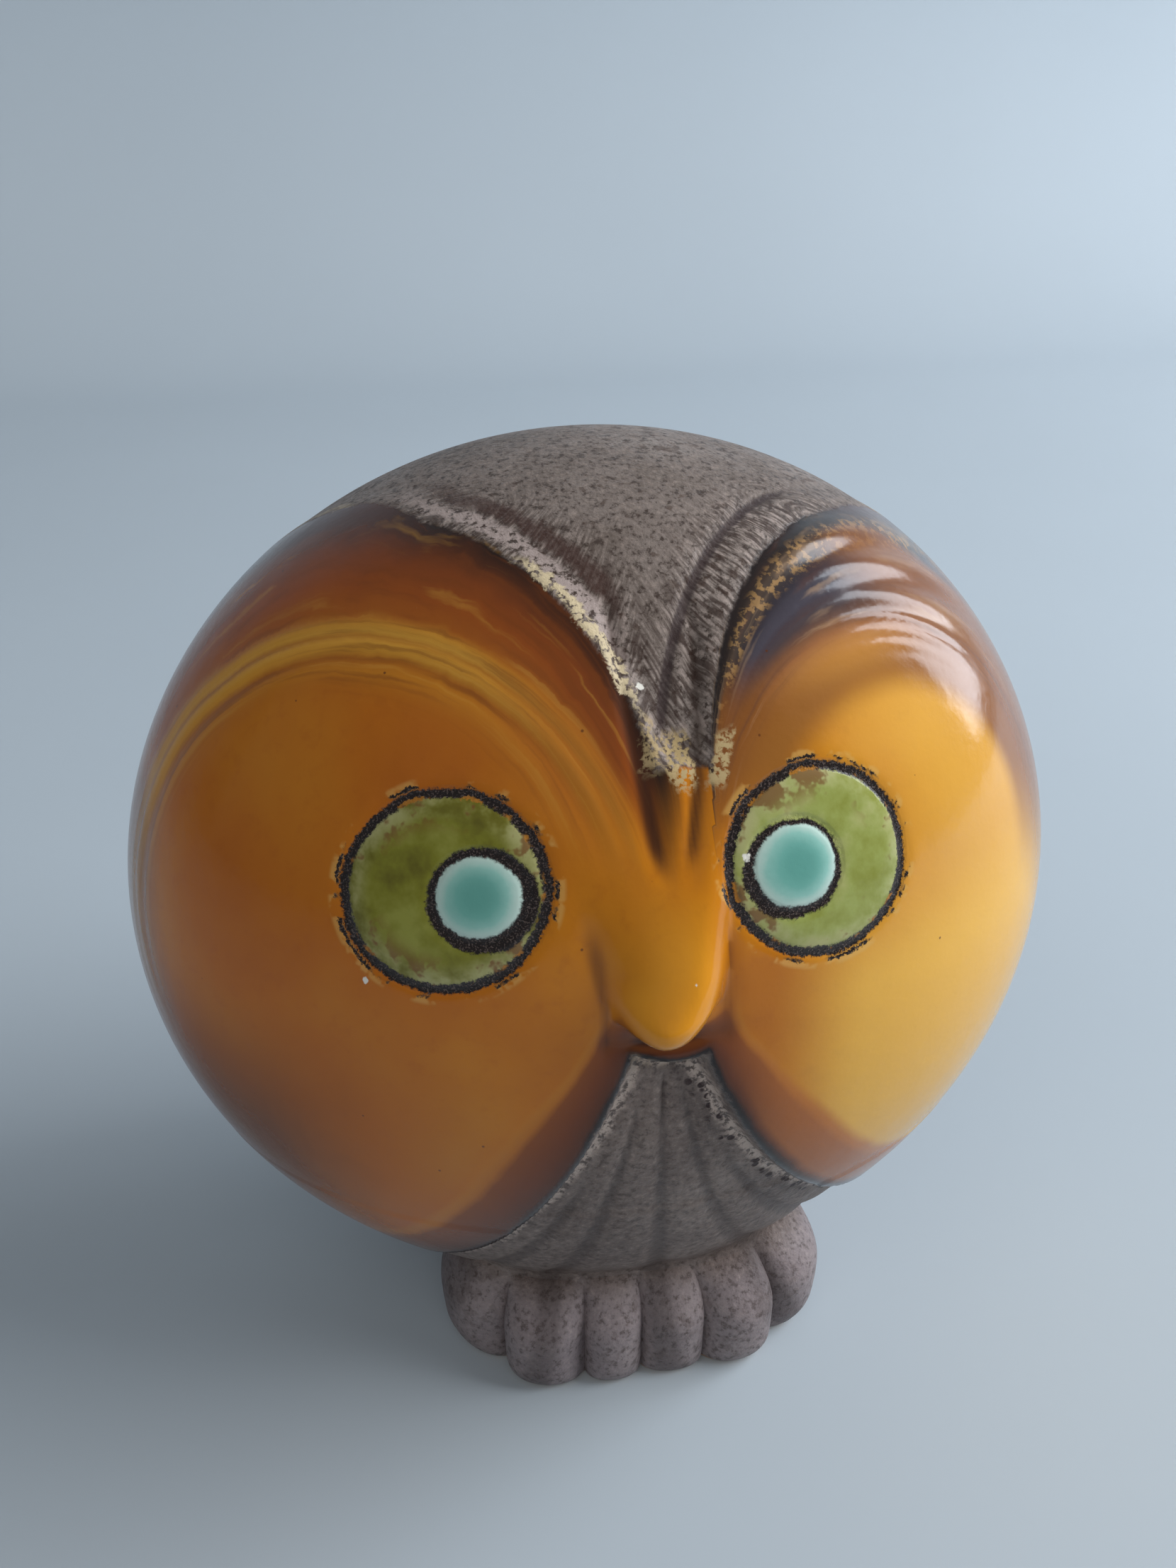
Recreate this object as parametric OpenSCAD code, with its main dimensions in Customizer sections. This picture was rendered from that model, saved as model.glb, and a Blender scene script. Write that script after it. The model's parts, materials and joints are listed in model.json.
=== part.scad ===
// Owl-shaped ceramic coin bank with a key-locked metal trap in its base.
// Millimetres. +Z is up, the owl faces -Y, and the origin is the middle of the
// face that the foot stands on.

/* [Body] */
// Width of the round body
body_w = 124; // [118:1:130]
// Depth of the round body, front to back
body_d = 100; // [97:1:108]
// Height of the round body, without its foot
body_h = 119; // [112:1:124]
// Height of the round body's lowest point above the table
body_lift = 7.5; // [7:0.5:9]
// Thickness of the fired clay wall
wall = 5; // [4.5:0.5:5.5]

/* [Face] */
// Turn of the owl's right eye from straight ahead, in degrees round the body
right_eye_turn = 24.5; // [20:0.5:28]
// Turn of the owl's left eye from straight ahead, in degrees round the body
left_eye_turn = 18.5; // [16:0.5:24]
// Lift of both eyes above the body's middle, in degrees
eye_lift = 23; // [20:0.5:26]
// Angle from an eye's centre to its rim, seen from the body's middle
eye_size = 10.8; // [9:0.2:12]
// Angle from a pupil's centre to its rim, seen from the body's middle
pupil_size = 4.8; // [4:0.1:5.6]
// Turn of each round face disc's centre from straight ahead, in degrees
disc_turn = 55; // [53:0.5:57]
// Angle from a face disc's centre to its edge
disc_size = 51.5; // [49:0.5:52]
// How far the chest lies behind the face discs
chest_step = 2.5; // [1.5:0.1:2.8]
// Width of the beak at its broadest
beak_w = 17; // [15:0.5:19]
// How far the beak stands out of the face
beak_out = 7.5; // [5:0.5:9]

/* [Feet] */
// How far the foot sits towards the owl's left of the body's middle
foot_shift = 2.5; // [0:0.5:3]
// Width of the foot block
foot_w = 52; // [50:0.5:54]
// Depth of the foot block, front to back
foot_d = 60; // [58:0.5:66]
// Radius of a toe
toe_r = 4.4; // [4:0.1:4.6]
// How far the longest toe stands out in front of the foot block
toe_out = 2.2; // [1.5:0.1:3]

/* [Coin slot] */
// Length of the coin slot
slot_w = 36; // [32:0.5:38]
// Width of the coin slot's gap
slot_gap = 5; // [4.8:0.1:6]
// Distance of the coin slot behind the middle of the body
slot_y = 24; // [20:0.5:27]

/* [Base hole and trap] */
// Radius of the round hole in the base
hole_r = 15.5; // [15.3:0.1:15.7]
// Radius of the trap's lock case
case_r = 14; // [13.8:0.1:14.1]
// Depth of the recess that the trap's plate sits in
recess_h = 2.6; // [2.4:0.1:2.8]
// Sheet thickness of the trap's stampings
sheet = 0.6; // [0.5:0.05:0.7]
// Angle that the key turns the cam through
cam_turn = 80; // [70:1:84]

/* [Hidden] */
$fn = 128;
fit = 0.08;                         // radial running clearance of the cam on its post
half_w = body_w / 2;
half_d = body_d / 2;
half_h = body_h / 2;
body_z = body_lift + half_h;        // height of the round body's middle
floor_top = recess_h + wall;        // top of the clay floor round the base hole
recess_r = hole_r + 4.5;
foot_block_h = 24;                  // the block's top ends inside the body's wall

// Trap: heights from the sheet metal plate up
plate_z = 1.25;                     // underside of the plate
plate_top = plate_z + sheet;
rim_r = 0.7;                        // section radius of the plate's rolled rim
rim_ring_r = recess_r - 2.1;        // radius of the ring that the rim's section follows
bolt_z = floor_top + 0.6;           // underside of the bolt
bolt_t = 1.2;
ceiling_z = bolt_z + bolt_t + 0.2;  // underside of the lock case's closed end
case_top = ceiling_z + sheet;
cam_t = 1.5;
cam_z = bolt_z - 0.3 - cam_t;       // underside of the cam's disc
cam_r = 5.2;
hub_r = 3.4;
hub_bore_r = 2.2;
post_r = 1.1;
crank_r = 3.2;                      // distance of the cam's pin from the post
crank_pin_r = 0.8;
bolt_travel = 2 * crank_r * sin(cam_turn / 2);
bolt_half_w = 6;
bolt_tip_y = -case_r + 0.1;         // the bolt's tip when it is drawn in
bolt_slot = 1.5;                    // half width of the bolt's window round the post
yoke_gap = 0.15;                    // play of the cam's pin in the bolt's cross slot
tail_half_w = 3;
rivet_ring_r = 11.9;
rivet_r = 0.75;
rivet_hole_r = rivet_r + 0.04;
spring_arc_r = 12;                  // radius that the detent spring is bowed to
spring_t = 0.4;
spring_y = 2;
spring_x = bolt_half_w + 0.3 + spring_arc_r;
spring_half_turn = 29;              // half of the arc that the leaf spans
spring_hole_in = 1.7;               // the rivet's place on the leaf's tab, in from its bow
spring_hole_on = 1.3;               // and on past the end of the bow
spring_rivet = [
    spring_x - (spring_arc_r - spring_hole_in) * cos(spring_half_turn)
        + spring_hole_on * sin(spring_half_turn),
    spring_y - (spring_arc_r - spring_hole_in) * sin(spring_half_turn)
        - spring_hole_on * cos(spring_half_turn)
];

// Front of the round body on its middle line, at a height
function front_y(z) = -half_d * sqrt(1 - pow((z - body_z) / half_h, 2));

// Round body, shrunk by a depth below its full outline
module egg(shrink) {
    translate([0, 0, body_z])
        scale([half_w - shrink, half_d - shrink, half_h - shrink])
            sphere(r = 1);
}

// Where a turn round the body and a lift above its middle meet a ball of radius 1
function place(turn, lift) = [sin(turn) * cos(lift), -cos(turn) * cos(lift), sin(lift)];

// Puts its children with +Z square to the body's outline at a place, and the plane
// that passes through all points at the angle size from the place at z = 0
module on_body(turn, lift, size) {
    p = place(turn, lift);
    middle = cos(size) * [p[0] * half_w, p[1] * half_d, p[2] * half_h];
    out = [p[0] / half_w, p[1] / half_d, p[2] / half_h];
    translate([middle[0], middle[1], middle[2] + body_z])
        rotate([0, acos(out[2] / norm(out)), atan2(out[1], out[0])])
            children();
}

// Block that takes in all of the body within the angle size of a place
module cap(turn, lift, size) {
    reach = 160;
    on_body(turn, lift, size) translate([-reach / 2, -reach / 2, 0]) cube([reach, reach, reach / 2]);
}

// Raised ring on the body at the angle size from a place
module ring(turn, lift, size, section) {
    mean_r = 0.97 * (half_w + half_h) / 2;
    on_body(turn, lift, size)
        rotate_extrude() translate([mean_r * sin(size), 0]) circle(r = section, $fn = 24);
}

// Round body with the chest sunk below the edges of the two round face discs
module body_and_chest() {
    chest_lift = -35;
    chest_size = 38;
    disc_lift = 13;
    difference() {
        egg(0);
        difference() {
            cap(0, chest_lift, chest_size);
            egg(chest_step);
            cap(disc_turn, disc_lift, disc_size);
            cap(-disc_turn, disc_lift, disc_size);
        }
    }
}

// The pupils look inwards, so each sits nearer the beak than its eye's centre
module eyes() {
    squint = 3.8;
    ring(-right_eye_turn, eye_lift, eye_size, 1.1);
    ring(-right_eye_turn + squint, eye_lift, pupil_size, 0.8);
    ring(left_eye_turn, eye_lift, eye_size, 1.1);
    ring(left_eye_turn - squint, eye_lift, pupil_size, 0.8);
}

module beak() {
    root_z = body_z + 25;
    low_z = body_z + 6.5;
    broad_z = body_z + 11;
    flank = 2.5;
    side = beak_w / 2 - flank;
    hull() {
        translate([0, front_y(root_z) + 2, root_z]) sphere(r = 2, $fn = 24);
        translate([side, front_y(broad_z) + 2.2, broad_z]) sphere(r = flank, $fn = 24);
        translate([-side, front_y(broad_z) + 2.2, broad_z]) sphere(r = flank, $fn = 24);
        translate([0, front_y(broad_z) - beak_out + 3, broad_z - 1]) sphere(r = 3, $fn = 24);
        translate([0, front_y(low_z) + 1, low_z + 2]) sphere(r = 2, $fn = 24);
    }
}

// Upright block with half-round ends, w wide and d deep
module stadium(w, d, h) {
    shift = (d - w) / 2;
    translate([0, shift, 0]) cylinder(r = w / 2, h = h);
    translate([0, -shift, 0]) cylinder(r = w / 2, h = h);
    translate([-w / 2, -shift, 0]) cube([w, 2 * shift, h]);
}

// Three toes of one foot, each a rounded roll; the outer one is set back
module toes() {
    pitch = 8;
    outs = [0.8, 1, -1.8] * toe_out;
    for (i = [0 : 2])
        translate([4.6 + i * pitch, -foot_d / 2 - outs[i] + toe_r, toe_r - 0.2]) {
            sphere(r = toe_r);
            rotate([-62, 0, 0]) cylinder(r1 = toe_r - 0.3, r2 = toe_r - 1, h = 16);
        }
}

module owl_outside() {
    intersection() {
        union() {
            body_and_chest();
            eyes();
            beak();
            translate([foot_shift, 0, 0]) {
                stadium(foot_w, foot_d, foot_block_h);
                toes();
                mirror([1, 0, 0]) toes();
            }
        }
        translate([-half_w - 5, -half_d - 20, 0]) cube([body_w + 10, body_d + 40, 200]);
    }
}

// Fired clay: the whole owl is one hollow casting
module owl_shell() {
    color("peru")
    difference() {
        owl_outside();
        egg(wall);
        translate([foot_shift, 0, floor_top])
            stadium(foot_w - 9, foot_d - 10, foot_block_h - floor_top);
        translate([0, 0, -1]) cylinder(r = recess_r, h = recess_h + 1);
        translate([0, 0, -1]) cylinder(r = hole_r, h = floor_top + 2);
        translate([-slot_w / 2, slot_y - slot_gap / 2, body_z]) cube([slot_w, slot_gap, body_h]);
    }
}

// Round plate with a rolled rim, a keyhole and three rivet holes
module trap_plate() {
    color("silver")
    difference() {
        union() {
            translate([0, 0, plate_z]) cylinder(r = rim_ring_r, h = sheet);
            translate([0, 0, plate_z + sheet / 2])
                rotate_extrude() translate([rim_ring_r, 0]) circle(r = rim_r, $fn = 32);
        }
        translate([0, 0, plate_z - 1]) cylinder(r = hub_bore_r + 0.2, h = sheet + 2);
        translate([-5, -0.9, plate_z - 1]) cube([5, 1.8, sheet + 2]);
        at_rivets() translate([0, 0, plate_z - 1]) cylinder(r = rivet_hole_r, h = sheet + 2);
    }
}

module at_rivets() {
    for (turn = [30 : 120 : 270]) rotate([0, 0, turn]) translate([rivet_ring_r, 0, 0]) children();
}

// Drawn cup with a turned-in flange, a window for the bolt and a fixed hook at the back
module lock_case() {
    hook_w = 8;
    hook_z = bolt_z + 0.2;
    color("lightgray") {
        difference() {
            translate([0, 0, plate_top]) cylinder(r = case_r, h = case_top - plate_top);
            translate([0, 0, plate_top + sheet])
                cylinder(r = case_r - sheet, h = ceiling_z - plate_top - sheet);
            translate([0, 0, plate_top - 1]) cylinder(r = 10.4, h = 3);
            at_rivets() translate([0, 0, plate_top - 1]) cylinder(r = rivet_hole_r, h = 3);
            translate([-bolt_half_w - 0.2, -case_r - 1, bolt_z - 0.2])
                cube([2 * bolt_half_w + 0.4, 3, ceiling_z - bolt_z + 0.2]);
            cylinder(r = post_r, h = case_top + 1);
            translate([spring_rivet[0], spring_rivet[1], 0])
                cylinder(r = rivet_hole_r, h = case_top + 1);
        }
        intersection() {
            translate([-hook_w / 2, case_r - sheet - 0.4, hook_z]) cube([hook_w, 6, 0.9]);
            difference() {
                cylinder(r = hole_r + 1.7, h = case_top);
                cylinder(r = case_r - sheet, h = case_top);
            }
        }
    }
}

// Domed rivets that hold the case to the plate
module case_rivets() {
    color("gray")
    at_rivets() {
        translate([0, 0, plate_z]) cylinder(r = rivet_r, h = 2 * sheet);
        translate([0, 0, plate_z]) mirror([0, 0, 1]) rivet_head();
        translate([0, 0, plate_z + 2 * sheet]) rivet_head();
    }
}

module rivet_head() {
    head_r = 1.4;
    rise = 0.45;
    ball_r = (head_r * head_r + rise * rise) / (2 * rise);
    intersection() {
        translate([0, 0, rise - ball_r]) sphere(r = ball_r);
        cylinder(r = head_r, h = rise);
    }
}

// Fixed post that the barrel of the key slides over and the cam turns on
module key_post() {
    color("darkgray") {
        translate([0, 0, plate_top + 0.8]) cylinder(r = post_r, h = case_top - plate_top - 0.8);
        translate([0, 0, case_top]) rivet_head();
    }
}

// Spring clip under the cam, pressed on the post
module cam_clip() {
    color("dimgray")
    translate([0, 0, cam_z - 0.7])
        difference() {
            cylinder(r = hub_bore_r - 0.3, h = 0.4);
            translate([0, 0, -1]) cylinder(r = post_r, h = 3);
        }
}

// Cam with a hub that the key's bit drives, and a crank pin that moves the bolt
module key_cam() {
    color("goldenrod")
    difference() {
        union() {
            translate([0, 0, cam_z]) cylinder(r = cam_r, h = cam_t);
            translate([0, 0, plate_top + 1.3]) cylinder(r = hub_r, h = cam_z - plate_top - 1.3);
            rotate([0, 0, cam_turn / 2])
                translate([crank_r, 0, cam_z + cam_t]) cylinder(r = crank_pin_r, h = bolt_t + 0.1);
        }
        cylinder(r = post_r + fit, h = case_top);
        cylinder(r = hub_bore_r, h = cam_z);
        translate([-hub_r - 1, -0.9, 0]) cube([hub_r + 1, 1.8, cam_z]);
    }
}

// Flat bolt, drawn in at rest; the cam pushes it out over the clay floor
module lock_bolt() {
    crank_y = crank_r * sin(cam_turn / 2);
    yoke_half = crank_pin_r + yoke_gap;
    main_end_y = 7.5;
    color("gainsboro")
    translate([0, 0, bolt_z])
        difference() {
            union() {
                intersection() {
                    translate([-bolt_half_w, bolt_tip_y, 0])
                        cube([2 * bolt_half_w, main_end_y - bolt_tip_y, bolt_t]);
                    cylinder(r = -bolt_tip_y, h = bolt_t);
                }
                translate([-tail_half_w, main_end_y - 1, 0]) cube([2 * tail_half_w, 5.5, bolt_t]);
            }
            translate([-bolt_slot, -bolt_slot, -1])
                cube([2 * bolt_slot, 2 * bolt_slot + bolt_travel, bolt_t + 2]);
            translate([0, crank_y - yoke_half, -1])
                cube([crank_r + yoke_half + 0.2, 2 * yoke_half, bolt_t + 2]);
            for (y = [spring_y, spring_y + bolt_travel])
                translate([bolt_half_w + 0.5, y, -1]) cylinder(r = 1, h = bolt_t + 2, $fn = 32);
        }
}

// Bridge that carries the bolt from below, hung from the case's closed end
module bolt_guide(y, length) {
    inside = bolt_half_w + 0.3;
    strip_z = bolt_z - 0.3 - sheet;
    color("darkgray")
    difference() {
        translate([-inside - sheet, y, strip_z])
            cube([2 * (inside + sheet), length, ceiling_z - strip_z]);
        translate([-inside, y - 1, strip_z + sheet])
            cube([2 * inside, length + 2, ceiling_z - strip_z]);
    }
}

module front_guide() {
    bolt_guide(-11, 3);
}

module rear_guide() {
    bolt_guide(cam_r + 0.4, 1.6);
}

// Bowed leaf whose belly clicks into the bolt's notches, with a tab under the rivet
module detent_spring() {
    height = 2.6;
    tab_w = 3.2;
    tab_l = 2.8;
    color("slategray")
    translate([spring_x, spring_y, ceiling_z]) {
        rotate([0, 0, 180 - spring_half_turn])
            translate([0, 0, -height])
                rotate_extrude(angle = 2 * spring_half_turn)
                    translate([spring_arc_r - spring_t, 0]) square([spring_t, height]);
        rotate([0, 0, 180 + spring_half_turn])
            difference() {
                translate([spring_arc_r - spring_t / 2 - tab_w, -0.8, -spring_t])
                    cube([tab_w, tab_l + 0.8, spring_t]);
                translate([spring_arc_r - spring_hole_in, spring_hole_on, -1])
                    cylinder(r = rivet_hole_r, h = 2);
            }
    }
}

module spring_rivet() {
    color("gray")
    translate([spring_rivet[0], spring_rivet[1], 0]) {
        translate([0, 0, ceiling_z - spring_t]) cylinder(r = rivet_r, h = sheet + spring_t);
        translate([0, 0, case_top]) rivet_head();
        translate([0, 0, ceiling_z - spring_t]) mirror([0, 0, 1]) rivet_head();
    }
}

owl_shell();
trap_plate();
lock_case();
case_rivets();
key_post();
cam_clip();
key_cam();
lock_bolt();
front_guide();
rear_guide();
detent_spring();
spring_rivet();
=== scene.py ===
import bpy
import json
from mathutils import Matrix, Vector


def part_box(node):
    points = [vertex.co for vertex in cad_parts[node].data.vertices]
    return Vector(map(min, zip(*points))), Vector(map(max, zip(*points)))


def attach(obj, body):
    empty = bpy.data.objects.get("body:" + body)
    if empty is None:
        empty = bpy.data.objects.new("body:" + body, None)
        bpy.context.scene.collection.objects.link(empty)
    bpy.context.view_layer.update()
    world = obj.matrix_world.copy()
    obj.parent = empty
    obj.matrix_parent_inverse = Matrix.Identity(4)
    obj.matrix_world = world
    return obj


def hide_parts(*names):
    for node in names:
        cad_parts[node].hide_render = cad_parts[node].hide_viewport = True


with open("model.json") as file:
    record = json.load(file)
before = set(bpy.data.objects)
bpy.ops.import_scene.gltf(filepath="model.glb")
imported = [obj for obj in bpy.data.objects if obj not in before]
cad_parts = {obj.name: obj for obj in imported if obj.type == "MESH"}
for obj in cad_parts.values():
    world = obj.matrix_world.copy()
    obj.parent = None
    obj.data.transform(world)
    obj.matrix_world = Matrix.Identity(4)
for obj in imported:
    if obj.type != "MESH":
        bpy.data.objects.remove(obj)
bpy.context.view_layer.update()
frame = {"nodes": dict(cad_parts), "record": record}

import json
import math

import bpy
import numpy as np
from mathutils import Vector

# Glazed owl money box. Lengths are in millimetres until a mesh is made, and angles in degrees.
# A place on the round body is given by its turn from straight ahead, positive towards the
# owl's left, and its lift above the body's middle.
MM = 0.001

LOW, HIGH = (np.array(corner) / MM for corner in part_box("owl_shell"))
SKIN_ALLOWANCE = 0.2
BODY_LIFT = 7.5
WALL = 5
MESH_COLUMNS = 352
HALF = np.array([HIGH[0], HIGH[1], (HIGH[2] - BODY_LIFT) / 2]) - SKIN_ALLOWANCE
BODY_MIDDLE = np.array([0, 0, (HIGH[2] + BODY_LIFT) / 2])

# Base: the recess and hole that the trap sits in
RECESS_R = 20
RECESS_H = 2.6
HOLE_R = 15.5
FLOOR_TOP = RECESS_H + WALL

# Foot
FOOT_SHIFT = 2.6
FOOT_HALF_W = 25.6
FOOT_FRONT = 30.6
FOOT_BACK = 29.7
FOOT_POWER = 3.0
TOE_EDGES = (-64, -36.5, -16.5, -1.6, 15, 33.5, 60)
TOE_LENGTHS = (3.8, 4.8, 3.5, 3.1, 4.5, 4.8)

# Coin slot
SLOT_W = 36
SLOT_GAP = 5
SLOT_Y = 24
SLOT_LIP = 1.6

# Face: (turn, lift, size) of each circle's pole and its angle
DISC = {-1: (-56.3, 13.1, 53.8), 1: (53.7, 12.6, 49.5)}
BROW = {-1: (-51.7, 14.2, 50.6), 1: (50.3, 22.5, 39.8)}
CHIN = {-1: (-73.2, 16.8, 69.0), 1: (59.9, 17.2, 56.6)}
BROW_GROOVE = {-1: (-40.6, 12.4, 39.1), 1: (36.0, 20.5, 28.5)}
BROW_FOLD = {-1: (-39.6, 13.7, 33.3), 1: (34.0, 20.0, 23.5)}
EYE = {-1: (-24.6, 22.4, 10.9), 1: (18.5, 23.2, 10.6)}
PUPIL = {-1: (-20.4, 22.2, 4.5), 1: (15.0, 23.2, 4.7)}
PUPIL_RING = {-1: (-20.0, 21.9, 5.9), 1: (14.7, 22.9, 5.7)}

# Small pale chips in the glaze, in the same form
CHIPS = ((9.3, 25.1, 0.6), (-1.1, 45.7, 0.6), (-32.5, 11.5, 0.5), (-39.6, 53.6, 0.3),
         (-20.0, 17.5, 0.2), (1.5, 13.5, 0.25), (-28.5, 25.0, 0.2))

# Relief of the glazed surface, as millimetres of depth or height
CROWN_DEPTH = 0.35
VALLEY_DEPTH = 1.3
CHEST_DEPTH = 2.6
BEAK_HEIGHT = 6.9
# (height, where, width) of the ridges and grooves of the left brow, in the places of Place.brow
LEFT_BROW_RIDGES = ((0.3, 0.5, 0.4), (-0.1, 1.0, 0.12), (0.1, 1.22, 0.18), (0.1, 1.7, 0.2),
                    (-0.16, 1.46, 0.1), (-0.2, 2.02, 0.15))
CHEST_GROOVES = (0.16, 0.3, 0.5, 0.68, 0.82)


def ramp(value, low, high):
    """0 at low, 1 at high, with soft ends."""
    t = np.clip((value - low) / (high - low), 0, 1)
    return t * t * (3 - 2 * t)


def blend(a, b, share):
    return a + (b - a) * share


def bell(value, middle, width):
    return np.exp(-(((value - middle) / width) ** 2))


def direction(turn, lift):
    turn, lift = np.broadcast_arrays(np.radians(turn), np.radians(lift))
    return np.stack([np.sin(turn) * np.cos(lift), -np.cos(turn) * np.cos(lift), np.sin(lift)], -1)


def inside(way, circle):
    """Degrees inside the circle's edge, negative outside it."""
    turn, lift, size = circle
    return size - np.degrees(np.arccos(np.clip(way @ direction(turn, lift), -1, 1)))


class Place:
    """Where points lie on the owl's face, in degrees and millimetres."""

    def __init__(self, way):
        self.way = way
        self.turn = np.degrees(np.arctan2(way[..., 0], -way[..., 1]))
        self.lift = np.degrees(np.arcsin(np.clip(way[..., 2], -1, 1)))
        self.x = way[..., 0] * HALF[0]
        self.z = way[..., 2] * HALF[2] + BODY_MIDDLE[2]
        self.front = ramp(-way[..., 1], 0, 0.3)
        self.discs = {side: self.disc(side) for side in (-1, 1)}
        bridge = 12.2 - np.hypot((self.turn - 1) * 1.2, self.lift - 14.8)
        root = np.minimum(35.5 - self.lift, 9 - 1.5 * np.abs(self.turn - 1.5))
        bridge = np.maximum(bridge, np.minimum(root, self.lift - 12)) - 60 * (1 - self.front)
        self.face = np.maximum(np.maximum(self.discs[-1], self.discs[1]), bridge)

    def disc(self, side):
        """Degrees inside a face disc, whose front edge follows the brow above and the chin below."""
        upper = ramp(self.lift, 5, 25)
        edge = blend(inside(self.way, CHIN[side]), inside(self.way, BROW[side]), upper)
        return blend(inside(self.way, DISC[side]), edge, ramp(self.turn * side, 85, 50))

    def brow(self, side):
        """0 at the disc's edge, 1 at the brow's groove, 2 at the fold under it, and on inwards."""
        edge = self.discs[side]
        groove = inside(self.way, BROW_GROOVE[side])
        fold = inside(self.way, BROW_FOLD[side])
        outer = edge / np.maximum(edge - groove, 0.5)
        inner = 1 + groove / np.maximum(groove - fold, 0.5)
        return np.where(groove < 0, outer, np.where(fold < 0, inner, 2 + fold / 6))

    def brow_share(self, side):
        """How strongly the brow's bands show: above the eye, and on down the outer side."""
        outer = ramp(self.turn * side, 35, 85)
        near = ramp(self.lift, blend(22, -25, outer), blend(36, 15, outer))
        return near * ramp(self.turn * side, -6, 0)


def brow_relief(place):
    """Ridges and grooves that run round the top of each face disc."""
    left = place.brow(-1)
    relief = sum(height * bell(left, at, width) for height, at, width in LEFT_BROW_RIDGES)
    total = relief * place.brow_share(-1) * ramp(-place.turn, 100, 60)
    right = place.brow(1)
    ridges = np.cos(2 * np.pi * (right - 0.22) / 0.31 + 0.6 * np.sin(np.radians(place.turn * 5)))
    relief = 0.13 * ridges * ramp(right, 0.05, 0.25) * ramp(right, 2.3, 1.5)
    relief -= 0.45 * bell(right, 0, 0.09)
    return total + relief * place.brow_share(1) * ramp(place.turn, 95, 60) * ramp(place.lift, 34, 46)


def crown_line(place):
    """1 along the groove in the crown that runs beside the right brow."""
    return bell(-place.discs[1], 5.0, 0.75) * ramp(place.lift, 36, 44) * place.front


def crown_relief(place):
    """The crown and back lie below the discs, and deepest in the V between the brows."""
    outside = -place.face
    above = ramp(place.lift, 18, 30)
    valley = ramp(place.lift, 70, 40) * place.front * above
    depth = CROWN_DEPTH + VALLEY_DEPTH * valley
    soft = blend(4.5, 2.6, valley)
    return (-depth * ramp(outside, 0, soft) - 0.5 * crown_line(place)) * above


def valley_relief(place):
    """Two grooves that run down the valley and stop just above the beak."""
    fade = ramp(place.lift, 22, 28) * ramp(place.lift, 62, 48)
    spread = (place.lift - 25) / 20
    left = bell(place.turn, -0.5 - 3.2 * spread, 1.2)
    right = bell(place.turn, 2.7 + 4.6 * spread, 1.1)
    ridge = bell(place.turn, 1.1, 1.2) * ramp(place.lift, 24, 30) * ramp(place.lift, 46, 36)
    return fade * (-0.7 * left - 0.6 * right) + 0.3 * ridge


def below(place):
    """1 on the chest side of the beak's tip, 0 above it."""
    return ramp(place.lift, 14, 6)


def fan(place):
    """0 at the left chin edge, 1 at the right one: a coordinate across the chest."""
    left = np.maximum(-place.discs[-1], 0.05)
    right = np.maximum(-place.discs[1], 0.05)
    return left / (left + right)


def chest_grooves(place):
    lines = sum(bell(fan(place), at, 0.028) for at in CHEST_GROOVES)
    return lines * ramp(-place.face, 1.2, 6) * below(place) * place.front


def chest_relief(place):
    """The chest is sunk behind the cheeks, with a crisp edge in front that softens at the sides."""
    outside = -place.face
    sharp = blend(5, 1.3, place.front)
    depth = blend(0.9, CHEST_DEPTH, place.front) * below(place) * ramp(place.lift, -56, -20)
    return -depth * ramp(outside, -0.1, sharp) - 0.45 * chest_grooves(place)


def eye_relief(place):
    """Scratched lines round domed pools of glaze."""
    total = 0
    for side in (-1, 1):
        eye = inside(place.way, EYE[side])
        pupil = inside(place.way, PUPIL[side])
        total = total - 0.28 * bell(eye, 0, 0.7) + 0.18 * ramp(eye, 0.8, 2.6)
        total = total - 0.22 * bell(pupil, -0.4, 0.6) + 0.22 * ramp(pupil, 0, 2.2)
    return total


class Beak:
    """A wedge that leans over: steep on the owl's left of its ridge, long and soft on the right."""

    def __init__(self, place):
        root_z, tip_z, end_z = BODY_MIDDLE[2] + 29.5, BODY_MIDDLE[2] + 11.8, BODY_MIDDLE[2] + 7.2
        self.down = np.clip((root_z - place.z) / (root_z - tip_z), 0, 2)
        run = np.minimum(self.down, 1.1)
        hook = 2.2 * ramp(self.down, 0.8, 1.05)
        off = place.x - (5.2 - 4.2 * run - hook)
        width = np.where(off < 0, 16.5 - 7.6 * run - hook, 2.3 + 3.3 * run + hook)
        self.off = off / width
        across = np.clip(1 - self.off**2, 0, 1) ** np.where(off < 0, 1.7, 1.1)
        under = np.clip((tip_z + 0.06 * (place.x + 1.2) ** 2 - place.z) / (tip_z - end_z), 0, 1)
        height = BEAK_HEIGHT * np.minimum(self.down, 1) ** 1.45
        self.rise = height * across * np.sqrt(1 - under**2) * (place.way[..., 1] < 0)


def beak_relief(place):
    """How far the beak stands out, and the creases that run down its flanks and under its tip."""
    beak = Beak(place)
    drop = place.z - BODY_MIDDLE[2]
    crease = bell(beak.off, -0.93, 0.13) + 0.8 * bell(beak.off, 1.0, 0.17)
    crease *= ramp(beak.down, 0.4, 0.8) * ramp(beak.down, 1.6, 1.3) * place.front
    gap = bell(drop, 5.6, 1.4) * bell(place.x, -0.4, 5.6) * place.front
    return beak.rise, -0.4 * crease - 0.9 * gap


def slot_lip(place):
    """The clay rounds over into the coin slot."""
    y = place.way[..., 1] * HALF[1]
    along = np.maximum(np.abs(place.x) - (SLOT_W - SLOT_GAP) / 2, 0)
    away = np.hypot(along, y - SLOT_Y) - SLOT_GAP / 2
    share = np.clip(1 - away / SLOT_LIP, 0, 1)
    return -0.8 * share**2 * (place.lift > 30)


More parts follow.
